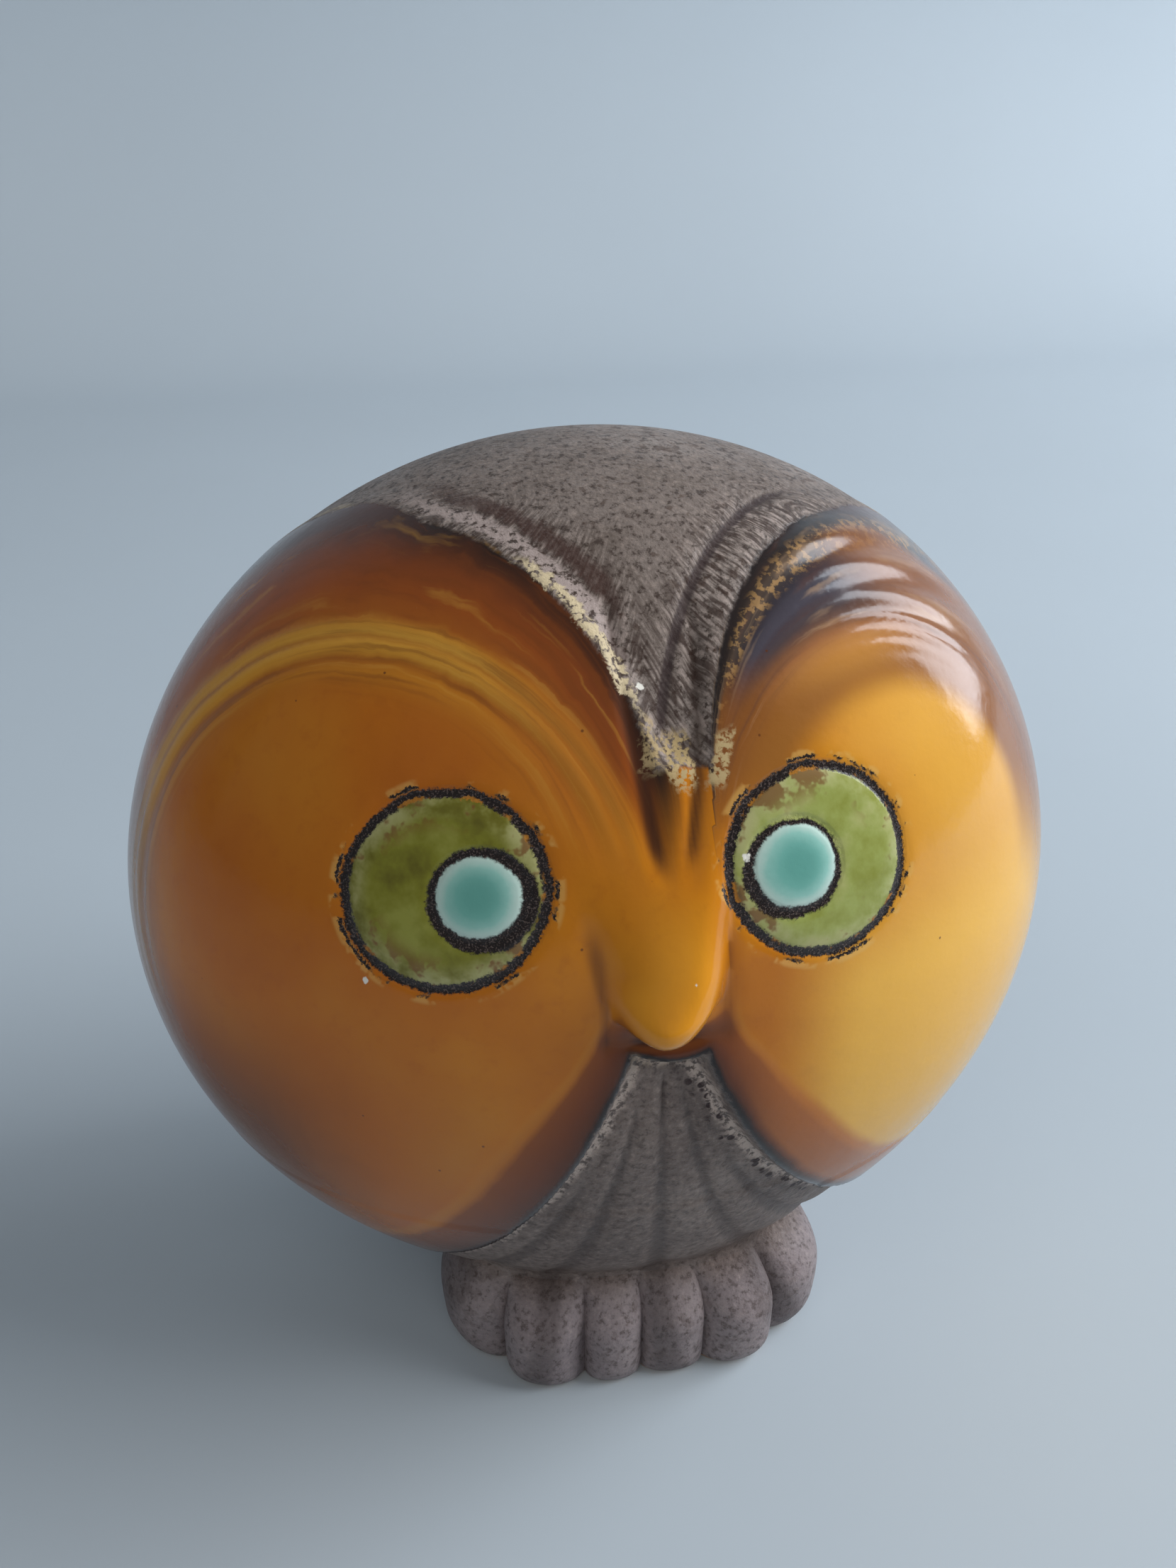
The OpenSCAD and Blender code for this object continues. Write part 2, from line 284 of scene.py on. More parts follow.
def toe_push(turn, z):
    """How far a toe stands out of the foot at a turn in plan and a height."""
    push = np.zeros_like(turn)
    for start, end, length in zip(TOE_EDGES, TOE_EDGES[1:], TOE_LENGTHS):
        t = np.clip(np.abs(turn - (start + end) / 2) / ((end - start) / 2), 0, 1)
        push = push + length * (1 - t**2.3) ** 0.62
    roll_z, top_z, curl_z = 6.0, 15.6, 4.0
    roll = np.sqrt(1 - np.clip((z - roll_z) / (top_z - roll_z), 0, 1) ** 2)
    curl = 1 - 0.4 * np.clip((curl_z - z) / curl_z, 0, 1) ** 2
    return push * roll * curl


def plan_turn(turn):
    """Angle in plan, from straight ahead, of a turn round the body."""
    turn = np.radians(turn)
    return np.degrees(np.arctan2(HALF[0] * np.sin(turn), HALF[1] * np.cos(turn)))


def foot_outline(turn):
    """Plan distance from the foot's middle to its wall between the toes, at an angle in plan."""
    sine, cosine = np.sin(np.radians(turn)), np.cos(np.radians(turn))
    depth = np.where(cosine > 0, FOOT_FRONT, FOOT_BACK)
    radius = np.abs(sine / FOOT_HALF_W) ** FOOT_POWER + np.abs(cosine / depth) ** FOOT_POWER
    return radius ** (-1 / FOOT_POWER)


def foot_radius(turn, z):
    """Plan distance from the foot's middle to its outside at an angle in plan and a height."""
    sine, cosine = np.sin(np.radians(turn)), np.cos(np.radians(turn))
    flare = 0.985 + 0.035 * (np.clip(z, 0, 14) / 8) * np.abs(sine)
    setback = 1 - 0.13 * ramp(z, 9, 18) * np.maximum(cosine, 0)
    edge_r = 1.3
    tuck = edge_r - np.sqrt(edge_r**2 - np.clip(edge_r - z, 0, edge_r) ** 2)
    return foot_outline(turn) * flare * setback + toe_push(turn, z) - tuck


def outer_skin(turn, height):
    """Points of the glazed surface for a grid of turns and of heights on the bare round body."""
    lift = np.degrees(np.arcsin(np.clip((height - BODY_MIDDLE[2]) / HALF[2], -1, 1)))
    way = direction(turn, lift)
    place = Place(way)
    rise, crease = beak_relief(place)
    relief = brow_relief(place) + crown_relief(place) + valley_relief(place) + chest_relief(place)
    relief = relief + eye_relief(place) + crease + slot_lip(place)
    on_body = ramp(lift, -72, -58)
    normal = way / HALF
    normal /= np.linalg.norm(normal, axis=-1, keepdims=True)
    point = way * HALF + normal * (relief * on_body)[..., None]
    point[..., 1] -= rise
    point[..., 2] -= 0.12 * rise
    angle = plan_turn(turn)
    out = np.stack([np.sin(np.radians(angle)), -np.cos(np.radians(angle))], -1)
    body_r = np.sum(point[..., :2] * out, -1)
    foot_r = foot_radius(angle, height)
    foot_r = np.where(height > 40, 0, foot_r)
    fillet = 3.2
    joined = (body_r + foot_r + np.sqrt((body_r - foot_r) ** 2 + fillet**2)) / 2
    joined = np.where(height > 40, body_r, joined)
    on_foot = ramp(foot_r - body_r, -1.5, 1.5)
    point[..., :2] += out * (joined - body_r)[..., None]
    point[..., 0] += FOOT_SHIFT * ramp(height, 24, 12)
    body_z = BODY_MIDDLE[2] + point[..., 2]
    point[..., 2] = blend(body_z, height, on_foot)
    return point


def ring_points(turn, radius, z):
    angle = np.radians(turn)
    x = HALF[0] * np.sin(angle)
    y = -HALF[1] * np.cos(angle)
    reach = np.hypot(x, y)
    return np.stack([x / reach * radius, y / reach * radius, np.full_like(turn, z)], -1)


def arc_rows(start, end, count):
    """Lifts from start towards end, leaving out the end so that bands join without a double row."""
    return np.linspace(start, end, count, endpoint=False)


def owl_points():
    """Rows of points: down the outside, in under the foot, up the hole and over the inside."""
    columns = MESH_COLUMNS
    even = np.linspace(-0.5, 0.5, columns, endpoint=False)
    turn = 360 * (even - 0.42 * np.sin(2 * np.pi * even) / (2 * np.pi))
    lifts = np.concatenate([arc_rows(89.3, 12, 116), arc_rows(12, 2, 24), arc_rows(2, -48, 72)])
    heights = BODY_MIDDLE[2] + HALF[2] * np.sin(np.radians(lifts))
    foot_rows = np.concatenate([np.linspace(heights[-1] - 0.7, 1.3, 32), [0.8, 0.4, 0.12, 0]])
    heights = np.concatenate([heights, foot_rows])
    grid_turn, grid_height = np.meshgrid(turn, heights)
    rows = list(outer_skin(grid_turn, grid_height))
    outline = rows[-1].copy()
    recess = ring_points(turn, RECESS_R, 0)
    rows += [blend(outline, recess, share) for share in (0.35, 0.75)]
    rows += [ring_points(turn, radius, z) for radius, z in (
        (RECESS_R + 0.4, 0), (RECESS_R, 0.4), (RECESS_R, RECESS_H), (HOLE_R + 0.3, RECESS_H),
        (HOLE_R, RECESS_H + 0.3), (HOLE_R, FLOOR_TOP - 0.5), (HOLE_R + 0.5, FLOOR_TOP),
        (19, FLOOR_TOP))]
    inner_r = foot_outline(plan_turn(turn)) - WALL
    for z in (FLOOR_TOP, FLOOR_TOP + 0.6, 13):
        rows.append(ring_points(turn, inner_r, z) + [FOOT_SHIFT, 0, 0])
    rows += [direction(turn, lift) * (HALF - WALL) + BODY_MIDDLE for lift in np.linspace(-66, 88, 20)]
    return rows


def grid_mesh(name, rows, top, bottom):
    """Closed mesh from rings of points, with a fan to a point at each end."""
    columns = len(rows[0])
    points = np.concatenate([np.concatenate(rows), [top, bottom]]) * MM
    starts = np.arange(len(rows) - 1) * columns
    column = np.arange(columns)
    following = (column + 1) % columns
    quads = [np.column_stack([at + column, at + columns + column, at + columns + following,
                              at + following]) for at in starts]
    faces = np.concatenate(quads).tolist()
    first, last = len(rows) * columns, len(rows) * columns + 1
    final = (len(rows) - 1) * columns
    faces += [(first, a, b) for a, b in zip(column.tolist(), following.tolist())]
    faces += [(last, final + b, final + a) for a, b in zip(column.tolist(), following.tolist())]
    mesh = bpy.data.meshes.new(name)
    mesh.from_pydata(points.tolist(), [], faces)
    mesh.validate()
    return mesh


def add_object(name, mesh):
    made = bpy.data.objects.new(name, mesh)
    bpy.context.scene.collection.objects.link(made)
    return made


def slot_cutter():
    """Upright blade with round ends."""
    rows = []
    end_r = SLOT_GAP / 2
    reach = SLOT_W / 2 - end_r
    angles = np.radians(np.linspace(-90, 90, 13))
    right = np.column_stack([reach + end_r * np.cos(angles), SLOT_Y + end_r * np.sin(angles)])
    outline = np.concatenate([right, right * [-1, -1] + [0, 2 * SLOT_Y]])
    for z in (100, 107, 114, 121, 128):
        rows.append(np.column_stack([outline, np.full(len(outline), z)])[::-1])
    rows = rows[::-1]
    middle = [0, SLOT_Y]
    return add_object("slot_cutter", grid_mesh("slot_cutter", rows, middle + [128], middle + [100]))


def paint_fields(mesh):
    """Writes the fields that the glaze's colours follow as one number per point of the mesh."""
    count = len(mesh.vertices)
    points = np.empty(count * 3)
    mesh.vertices.foreach_get("co", points)
    points = points.reshape(-1, 3) / MM
    scaled = (points - BODY_MIDDLE) / (HALF + SKIN_ALLOWANCE)
    size = np.linalg.norm(scaled, axis=1)
    place = Place(scaled / size[:, None])
    z = points[:, 2]
    foot_w = np.abs(points[:, 0] - FOOT_SHIFT) / FOOT_HALF_W
    foot_d = np.abs(points[:, 1]) / np.where(points[:, 1] < 0, FOOT_FRONT, FOOT_BACK)
    across = (foot_w**FOOT_POWER + foot_d**FOOT_POWER) ** (1 / FOOT_POWER)
    depth = (1 - size) * HALF[2]
    near_slot_x = np.abs(points[:, 0]) < SLOT_W / 2 + 0.2
    by_slot = near_slot_x & (np.abs(points[:, 1] - SLOT_Y) < SLOT_GAP / 2 + 0.2)
    buried = np.where(by_slot & (z > 85), ramp(depth, 2, 3.5), ramp(depth, 4.4, 4.8))
    buried = np.where(z > 12, buried, 1 - ramp(across, 0.84, 0.9))
    bare = np.maximum(buried, ramp(z, 1.2, 0.2))
    rise, crease = beak_relief(place)
    left, right = place.brow(-1), place.brow(1)
    fields = {
        "face": place.face,
        "brow_left": left,
        "brow_right": right,
        "brow_left_on": place.brow_share(-1),
        "brow_right_on": place.brow_share(1),
        "eye": np.maximum(inside(place.way, EYE[-1]), inside(place.way, EYE[1])),
        "pupil": np.maximum(inside(place.way, PUPIL[-1]), inside(place.way, PUPIL[1])),
        "pupil_ring": np.maximum(inside(place.way, PUPIL_RING[-1]), inside(place.way, PUPIL_RING[1])),
        "turn": place.turn * place.front,
        "side": place.way[..., 0],
        "lift": place.lift,
        "below": below(place),
        "front": place.front,
        "chest_groove": chest_grooves(place),
        "valley_groove": np.clip(-valley_relief(place), 0, 1),
        "beak": rise / BEAK_HEIGHT,
        "crease": -crease,
        "crown_line": crown_line(place),
        "chip": np.maximum.reduce([inside(place.way, chip) for chip in CHIPS]),
        "foot": ramp(z, 17, 13) * ramp(size, 0.97, 1.03),
        "bare": bare,
    }
    for name, values in fields.items():
        layer = mesh.attributes.new(name, "FLOAT", "POINT")
        layer.data.foreach_set("value", np.broadcast_to(values, count).astype(np.float32))


def make_owl():
    rows = owl_points()
    top = [0, 0, BODY_MIDDLE[2] + HALF[2] - CROWN_DEPTH]
    inner_top = [0, 0, BODY_MIDDLE[2] + HALF[2] - WALL]
    owl = add_object("glazed_owl", grid_mesh("glazed_owl", rows, top, inner_top))
    cutter = slot_cutter()
    cut = owl.modifiers.new("coin_slot", "BOOLEAN")
    cut.object = cutter
    cut.operation = "DIFFERENCE"
    cut.solver = "MANIFOLD"
    shaped = bpy.data.meshes.new_from_object(owl.evaluated_get(bpy.context.evaluated_depsgraph_get()))
    owl.modifiers.clear()
    owl.data = shaped
    shaped.name = "glazed_owl"
    bpy.data.objects.remove(cutter)
    shaped.shade_smooth()
    shaped.set_sharp_from_angle(angle=math.radians(50))
    paint_fields(shaped)
    return owl


class Field:
    """A number or colour that varies over a surface. Arithmetic on it adds Math nodes."""

    def __init__(self, tree, socket):
        self.tree = tree
        self.socket = socket

    def math(self, operation, *others):
        node = self.tree.nodes.new("ShaderNodeMath")
        node.operation = operation
        for slot, value in zip(node.inputs, (self, *others)):
            feed(slot, value)
        return Field(self.tree, node.outputs[0])

    def __add__(self, other):
        return self.math("ADD", other)

    def __sub__(self, other):
        return self.math("SUBTRACT", other)

    def __mul__(self, other):
        return self.math("MULTIPLY", other)

    def __truediv__(self, other):
        return self.math("DIVIDE", other)

    def __neg__(self):
        return self * -1

    def size(self):
        return self.math("ABSOLUTE")

    def most(self, other):
        return self.math("MAXIMUM", other)

    def least(self, other):
        return self.math("MINIMUM", other)

    def flip(self):
        return self * -1 + 1

    def ramp(self, low, high, to_low=0.0, to_high=1.0):
        """to_low at low, to_high at high, with soft ends."""
        node = self.tree.nodes.new("ShaderNodeMapRange")
        node.interpolation_type = "SMOOTHSTEP"
        for slot, value in zip(node.inputs, (self, low, high, to_low, to_high)):
            feed(slot, value)
        return Field(self.tree, node.outputs[0])

    def line(self, middle, half_width, soft=0.4):
        """1 on a line at the value middle, fading out at half_width from it."""
        return (self - middle).size().ramp(half_width, half_width * soft)

    def tones(self, *stops):
        """Colour along a ramp of (place, colour) stops."""
        node = self.tree.nodes.new("ShaderNodeValToRGB")
        marks = node.color_ramp.elements
        while len(marks) < len(stops):
            marks.new(0.5)
        for mark, (at, colour) in zip(marks, stops):
            mark.position = at
            mark.color = tint(colour)
        feed(node.inputs[0], self)
        return Field(self.tree, node.outputs[0])


def feed(slot, value):
    if isinstance(value, Field):
        value.tree.links.new(value.socket, slot)
    elif isinstance(value, tuple):
        slot.default_value = tint(value)
    else:
        slot.default_value = value


def tint(colour):
    """Linear colour with alpha from screen values of 0 to 255."""
    parts = [channel / 255 for channel in colour]
    return (*[p / 12.92 if p < 0.04045 else ((p + 0.055) / 1.055) ** 2.4 for p in parts], 1)


def blend_field(share, at_zero, at_one):
    return share * (at_one - at_zero) + at_zero


class Finish:
    """A procedural material with its surface shader."""

    def __init__(self, name):
        self.material = bpy.data.materials.new(name)
        self.material.use_nodes = True
        self.tree = self.material.node_tree
        self.surface = self.tree.nodes["Principled BSDF"]
        place = self.tree.nodes.new("ShaderNodeTexCoord")
        self.place = Field(self.tree, place.outputs["Object"])

    def attribute(self, name):
        node = self.tree.nodes.new("ShaderNodeAttribute")
        node.attribute_name = name
        return Field(self.tree, node.outputs["Fac"])

    def noise(self, size_mm, detail=2.0, rough=0.5, wobble=0.0, stretch=None):
        """Soft noise whose lumps are about size_mm across, in 0 to 1."""
        node = self.tree.nodes.new("ShaderNodeTexNoise")
        feed(node.inputs["Vector"], self.stretched(stretch))
        node.inputs["Scale"].default_value = 1 / (size_mm * MM)
        node.inputs["Detail"].default_value = detail
        node.inputs["Roughness"].default_value = rough
        node.inputs["Distortion"].default_value = wobble
        return Field(self.tree, node.outputs["Fac"])

    def streaks(self, across, along):
        """Noise in 0 to 1 that is drawn out along one field and varies quickly across another."""
        node = self.tree.nodes.new("ShaderNodeCombineXYZ")
        feed(node.inputs[0], across)
        feed(node.inputs[1], along)
        noise = self.tree.nodes.new("ShaderNodeTexNoise")
        noise.inputs["Scale"].default_value = 1
        noise.inputs["Detail"].default_value = 3
        self.tree.links.new(node.outputs[0], noise.inputs["Vector"])
        return Field(self.tree, noise.outputs["Fac"])

    def specks(self, size_mm, stretch=None):
        """Distance to the nearest of many scattered points, as a share of their spacing."""
        node = self.tree.nodes.new("ShaderNodeTexVoronoi")
        feed(node.inputs["Vector"], self.stretched(stretch))
        node.inputs["Scale"].default_value = 1 / (size_mm * MM)
        return Field(self.tree, node.outputs["Distance"])

    def stretched(self, stretch):
        if stretch is None:
            return self.place
        node = self.tree.nodes.new("ShaderNodeMapping")
        feed(node.inputs["Vector"], self.place)
        node.inputs["Scale"].default_value = stretch
        return Field(self.tree, node.outputs[0])

    def mix(self, share, a, b, how="MIX"):
        node = self.tree.nodes.new("ShaderNodeMix")
        node.data_type = "RGBA"
        node.blend_type = how
        feed(node.inputs[0], share)
        feed(node.inputs[6], a)
        feed(node.inputs[7], b)
        return Field(self.tree, node.outputs[2])

    def bump(self, height, depth_mm, strength=1.0):
        node = self.tree.nodes.new("ShaderNodeBump")
        node.inputs["Strength"].default_value = strength
        node.inputs["Distance"].default_value = depth_mm * MM
        feed(node.inputs["Height"], height)
        self.tree.links.new(node.outputs[0], self.surface.inputs["Normal"])

    def set(self, **values):
        """Surface inputs by name, with _ for a space."""
        for name, value in values.items():
            feed(self.surface.inputs[name.replace("_", " ")], value)
        return self.material


def amber_glaze(paint):
    """Glossy honey glaze, yellow where it is thin and brown where it pools, with painted light on the
    right brow and cheek and painted shade on the left.
    """
    face = paint.attribute("face")
    turn = paint.attribute("turn")
    lift = paint.attribute("lift")
    clouds = paint.noise(26, 3, 0.5)
    fine = paint.noise(2.2, 3, 0.6)
    streak = paint.noise(9, 4, 0.6, 0.6, (1, 1, 0.45))
    amber = clouds.tones((0.3, (176, 100, 12)), (0.5, (195, 119, 15)), (0.72, (210, 141, 28)))
    amber = paint.mix(fine.ramp(0.5, 0.8, 0, 0.25), amber, (158, 86, 16))
    lower = lift.ramp(6, -14) * face.ramp(6, 13) * (turn.size().ramp(75, 50) * 0.4 + 0.3)
    amber = paint.mix(lower, amber, (207, 148, 44))
    # Painted light: lighter, yellower amber on the right brow, the side the light comes from.
    painted_light_right = turn.ramp(14, 44) * lift.line(22, 36, 0.3) * 0.7
    amber = paint.mix(painted_light_right, amber, (226, 172, 72))
    # Painted light: lighter amber on the right lower cheek.
    painted_light_cheek = turn.ramp(10, 24) * lift.ramp(20, 6) * face.ramp(3, 9) * 0.75
    amber = paint.mix(painted_light_cheek, amber, (236, 182, 74))
    # Painted shade: redder, darker amber towards the left side, away from the light.
    painted_shade_left = turn.ramp(-4, -34) * lift.ramp(-8, 8, 0.75, 0.5)
    return paint.mix(painted_shade_left, amber, (166, 78, 8)), streak


def brow_colours(paint, amber, streak):
    """Bands of pooled brown and thin yellow glaze that follow the ridges of each brow."""
    turn = paint.attribute("turn")
    left = paint.attribute("brow_left") + (streak - 0.5) * 0.3
    share = paint.attribute("brow_left_on") * left.ramp(3.0, 2.2) * left.ramp(-0.7, -0.4)
    bands = (left / 3).tones(
        (0.0, (40, 24, 16)), (0.06, (74, 38, 18)), (0.14, (122, 60, 20)), (0.24, (148, 74, 20)),
        (0.32, (160, 86, 22)), (0.39, (192, 132, 42)), (0.46, (202, 146, 52)), (0.5, (176, 114, 34)),
        (0.56, (204, 146, 50)), (0.63, (200, 138, 42)), (0.69, (168, 98, 22)), (0.77, (188, 118, 26)),
        (0.9, (178, 104, 18)))
    flow = paint.streaks(left * 5, turn * 0.035)
    inner = turn.ramp(-30, -10) * left.ramp(0.8, 1.2)
    bands = paint.mix(inner * 0.7, bands, (174, 98, 22))
    bands = paint.mix(flow.ramp(0.5, 0.7) * 0.5, bands, (118, 60, 18))
    bands = paint.mix(flow.ramp(0.46, 0.3) * 0.3, bands, (212, 156, 62))
    colour = paint.mix(share, amber, bands)
    right = paint.attribute("brow_right") + (streak - 0.5) * 0.16
    share = paint.attribute("brow_right_on") * right.ramp(3.0, 2.2) * right.ramp(-0.5, -0.3)
    stripes = (right / 3).tones(
        (0.0, (34, 28, 28)), (0.04, (48, 38, 34)), (0.075, (72, 58, 48)), (0.11, (58, 48, 44)),
        (0.15, (52, 47, 54)), (0.22, (66, 61, 70)), (0.29, (70, 56, 56)), (0.35, (112, 74, 50)),
        (0.42, (146, 94, 54)), (0.5, (176, 118, 58)), (0.6, (196, 134, 56)), (0.75, (210, 148, 60)),
        (0.9, (206, 140, 48)))
    flow = paint.streaks(right * 4.5, turn * 0.04)
    crust = right.line(0.27, 0.2, 0.3) * paint.noise(1.1, 3, 0.6).ramp(0.48, 0.58)
    stripes = paint.mix(crust * 0.8, stripes, (158, 122, 76))
    outer = turn.ramp(38, 58) * right.ramp(0.12, 0.3)
    stripes = paint.mix(outer * 0.7, stripes, (150, 92, 44))
    low = paint.attribute("lift").ramp(48, 40) * right.ramp(0.1, 0.3)
    stripes = paint.mix(low * 0.85, stripes, (132, 78, 28))
    upper = right.ramp(1.7, 1.2)
    stripes = paint.mix(flow.ramp(0.5, 0.72) * upper * 0.5, stripes, (84, 54, 44))
    stripes = paint.mix(flow.ramp(0.46, 0.28) * upper * 0.4, stripes, (196, 158, 120))
    return paint.mix(share, colour, stripes)


def face_colour(paint):
    """Honey glaze with its dark rims and brow bands, painted shade in the beak's creases, under its tip
    and low on the left, and painted light on the beak and the right chin rim.
    """
    amber, streak = amber_glaze(paint)
    colour = brow_colours(paint, amber, streak)
    face = paint.attribute("face") + (streak - 0.5) * 1.6
    under = paint.attribute("below")
    lift = paint.attribute("lift")
    low = lift.ramp(-12, 12)
    spread = blend_field(low, 9.5, 4.2)
    rim_tones = (face / spread).tones((0.0, (20, 12, 12)), (0.05, (30, 16, 12)), (0.13, (84, 40, 14)),
                                  (0.4, (112, 54, 14)), (0.68, (132, 68, 16)), (0.78, (176, 104, 24)),
                                  (1.0, (196, 126, 34)))
    chin_share = under * (face / spread).ramp(1.0, 0.8) * paint.attribute("front")
    # Painted light: the dark chin rim is lightened on the right side, towards the light.
    on_right = paint.attribute("turn").ramp(4, 16) * face.ramp(0.8, 2.4)
    rim_tones = paint.mix(on_right * 0.5, rim_tones, (190, 112, 44))
    colour = paint.mix(chin_share, colour, rim_tones)
    side_rim = face.ramp(9, 0.4) * paint.attribute("front").flip()
    colour = paint.mix(side_rim, colour, (74, 36, 20))
    side = paint.attribute("side") + (streak - 0.5) * 0.1
    # Painted shade: darker brown low on the left side, away from the light.
    painted_shade_low_left = lift.ramp(8, -18) * side.ramp(-0.46, -0.76)
    colour = paint.mix(painted_shade_low_left * 0.8, colour, (92, 48, 18))
    colour = paint.mix(side.ramp(-0.88, -0.99) * 0.7, colour, (104, 58, 24))
    # Painted shade along the beak's flank creases, partly glaze pooled in them.
    crease = paint.attribute("crease")
    colour = paint.mix(crease.ramp(0.1, 0.5) * 0.75, colour, (112, 58, 14))
    # Painted shadow: near black in the gap under the beak's tip.
    gap = crease.ramp(0.42, 0.8)
    colour = paint.mix(gap, colour, (34, 18, 14))
    beak = paint.attribute("beak")
    # Painted light: the beak is lightened where it stands out.
    colour = paint.mix(beak.ramp(0.2, 0.8) * 0.65, colour, (222, 150, 36))
    valley = paint.attribute("valley_groove")
    colour = paint.mix(valley.ramp(0.08, 0.7) * 0.9, colour, (62, 32, 16))
    pits = paint.specks(5).ramp(0.04, 0.025)
    return paint.mix(pits * 0.8, colour, (92, 48, 20))


def taupe_glaze(paint):
    """Satin grey-brown glaze of the crown, back, chest and foot, broken by fine dark specks, with a
    painted bluish sheen on the foot.
    """
    clouds = paint.noise(14, 4, 0.6)
    grain = paint.noise(0.9, 3, 0.7)
    spots = paint.noise(1.7, 2, 0.6)
    taupe = clouds.tones((0.3, (104, 92, 84)), (0.5, (122, 110, 103)), (0.72, (138, 127, 120)))
    violet = clouds.tones((0.3, (98, 84, 78)), (0.55, (118, 104, 97)), (0.75, (134, 120, 112)))
    low = paint.attribute("below").most(paint.attribute("foot"))
    base = paint.mix(low, taupe, violet)
    base = paint.mix(grain.ramp(0.5, 0.78) * 0.5, base, (164, 148, 138))
    # Painted reflection: a bluish sky sheen makes the foot lighter and bluer.
    base = paint.mix(paint.attribute("foot") * 0.3, base, (168, 160, 170))
    dark = grain.ramp(0.5, 0.33) * low.ramp(0, 1, 0.85, 0.6)
    base = paint.mix(dark, base, (62, 50, 44))
    blots = (spots * 0.6 + clouds * 0.4).ramp(0.56, 0.62) * low.ramp(0, 1, 0.6, 0.25)
    base = paint.mix(blots, base, (70, 52, 42))
    return base, grain


def crown_colour(paint):
    base, grain = taupe_glaze(paint)
    face = paint.attribute("face")
    under = paint.attribute("below")
    front = paint.attribute("front")
    streak = paint.noise(2.2, 3, 0.6, 0.5)
    edge = face + (streak - 0.5) * 2.4
    near = edge.ramp(-12, -3) * under.flip() * front
    along = paint.attribute("turn").size() * 0.8 + paint.attribute("lift") * 0.5
    comb = paint.streaks(along * 1.4, face * 0.35)
    base = paint.mix(near * comb.ramp(0.46, 0.6) * 0.75, base, (60, 44, 38))
    combed = near * comb.ramp(0.5, 0.36) * grain.ramp(0.35, 0.6)
    base = paint.mix(combed * 0.7, base, (172, 156, 148))
    on_left = paint.attribute("turn").ramp(-1, -6) * under.flip() * front
    base = paint.mix(edge.line(-5.2, 1.7, 0.3) * on_left * 0.75, base, (70, 48, 42))
    lilac = edge.line(-2.4, 1.5, 0.4) * on_left * grain.ramp(0.38, 0.52)
    base = paint.mix(lilac, base, (164, 148, 142))
    chest_edge = edge.line(-1.5, 1.3, 0.2) * under * front
    base = paint.mix(chest_edge * grain.ramp(0.4, 0.55), base, (182, 164, 152))
    high = paint.attribute("lift").ramp(-1, 5)
    apex = ((paint.attribute("turn") + 0.5) / 5).size().ramp(1, 0.4) * under * high
    base = paint.mix(apex * grain.ramp(0.4, 0.55) * 0.7, base, (176, 148, 104))
    base = paint.mix(apex * comb.ramp(0.52, 0.6) * 0.7, base, (48, 30, 24))
    groove = paint.attribute("chest_groove")
    base = paint.mix(groove.ramp(0.2, 0.9) * 0.45, base, (58, 48, 46))
    dots = paint.specks(1.5).ramp(0.42, 0.3) * edge.line(-2.6, 1.0, 0.5) * under * front
    base = paint.mix(dots * paint.attribute("turn").ramp(-1, 4), base, (46, 24, 22))
    valley = paint.attribute("valley_groove")
    base = paint.mix(valley.ramp(0.3, 0.8), base, (48, 28, 18))
    line = paint.attribute("crown_line") + (streak - 0.5) * 0.3
    return paint.mix(line.ramp(0.35, 0.8) * 0.8, base, (58, 46, 46))


def crystals(paint, colour):
    """Pale crystalline crust along the brows' inner edges and low in the valley."""
    face = paint.attribute("face")
    lift = paint.attribute("lift")
    turn = paint.attribute("turn")
    ragged = paint.noise(3.2, 5, 0.7, 0.8)
    fine = paint.noise(0.7, 2, 0.6)
    edge = face + (ragged - 0.5) * 4.2
    on_left = turn.ramp(2, -3) * turn.ramp(-30, -22) * lift.ramp(38, 46) * lift.ramp(62.5, 60.5)
    thick = lift.ramp(43, 50, 0.5, 0.95)
    line = (edge + 0.8).size() / thick
    line = line.ramp(1.0, 0.4) * on_left * fine.ramp(0.36, 0.52)
    colour = paint.mix(line, colour, (204, 186, 152))
    valley = paint.attribute("below").flip() * paint.attribute("front")
    tall = lift + (ragged - 0.5) * 4
    middle = (lift - 33.4) * 0.42 + 7
    low = ((turn - 3.1).size() + (ragged - 0.5) * 4).ramp(1.9, 1.2) * tall.line(36.6, 4.0, 0.5)
    second = ((turn - middle).size() + (ragged - 0.5) * 3.4).ramp(1.6, 1.0) * tall.line(36.2, 3.8, 0.5)
    third = ((turn + 0.9).size() + (ragged - 0.5) * 5).ramp(1.3, 0.6) * tall.line(38.5, 4.2, 0.5)
    patch = low.most(second).most(third * 0.8) * valley * fine.ramp(0.4, 0.54)
    return paint.mix(patch, colour, (182, 158, 114))


